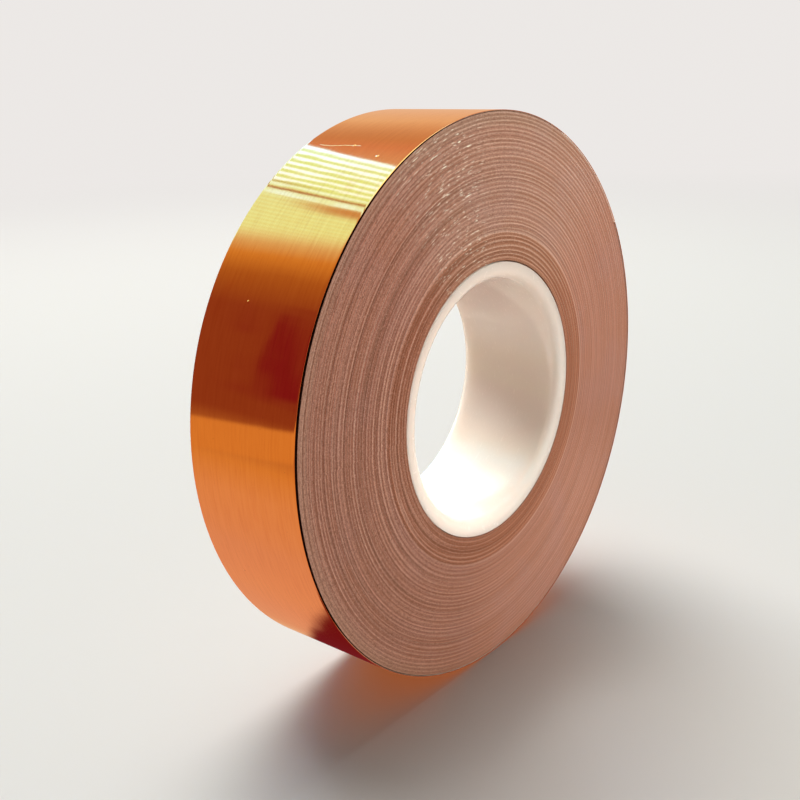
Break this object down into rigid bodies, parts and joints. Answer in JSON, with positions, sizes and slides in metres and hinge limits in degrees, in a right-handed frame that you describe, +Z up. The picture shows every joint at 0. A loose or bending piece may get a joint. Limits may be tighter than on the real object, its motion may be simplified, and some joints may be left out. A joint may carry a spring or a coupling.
{
  "type": "copper foil tape roll",
  "caption": "Roll of adhesive copper foil tape with a release liner on a plastic core, its free end hinged to lift and to peel off the liner.",
  "frame": {"origin": "on the ground under the middle of the roll, which stands on its rim", "axes": "+Z up; +Y along the roll's axis, away from the face shown; +X to the right seen from that face, towards the tape's free end"},
  "size_m": [0.0877, 0.02, 0.0872],
  "materials": {
    "core_plastic": "glossy moulded",
    "starter_tab_film": "satin film",
    "wound_tape_edges": "dull layered edges of foil and liner",
    "liner_paper": "siliconised paper",
    "adhesive_film": "clear tacky film",
    "copper_foil": "bright rolled copper"
  },
  "bodies": {
    "roll": {"core": "core_plastic", "starter_tab": "starter_tab_film", "wound_tape": "wound_tape_edges", "last_turn_liner": "liner_paper", "last_turn_adhesive": "adhesive_film", "last_turn_foil": "copper_foil"},
    "liner_end": {"free_end_liner": "liner_paper"},
    "foil_end": {"free_end_adhesive": "adhesive_film", "free_end_foil": "copper_foil"}
  },
  "joints": [
    {"name": "tape_end_lift", "type": "hinge", "parent": "roll", "child": "liner_end", "pos_m": [0.02028, 0, 0.08225], "axis": [0, -1, 0], "range_deg": [0, 80]},
    {"name": "foil_peel", "type": "hinge", "parent": "liner_end", "child": "foil_end", "pos_m": [0.02028, 0, 0.08225], "axis": [0, -1, 0], "range_deg": [0, 70]}
  ]
}
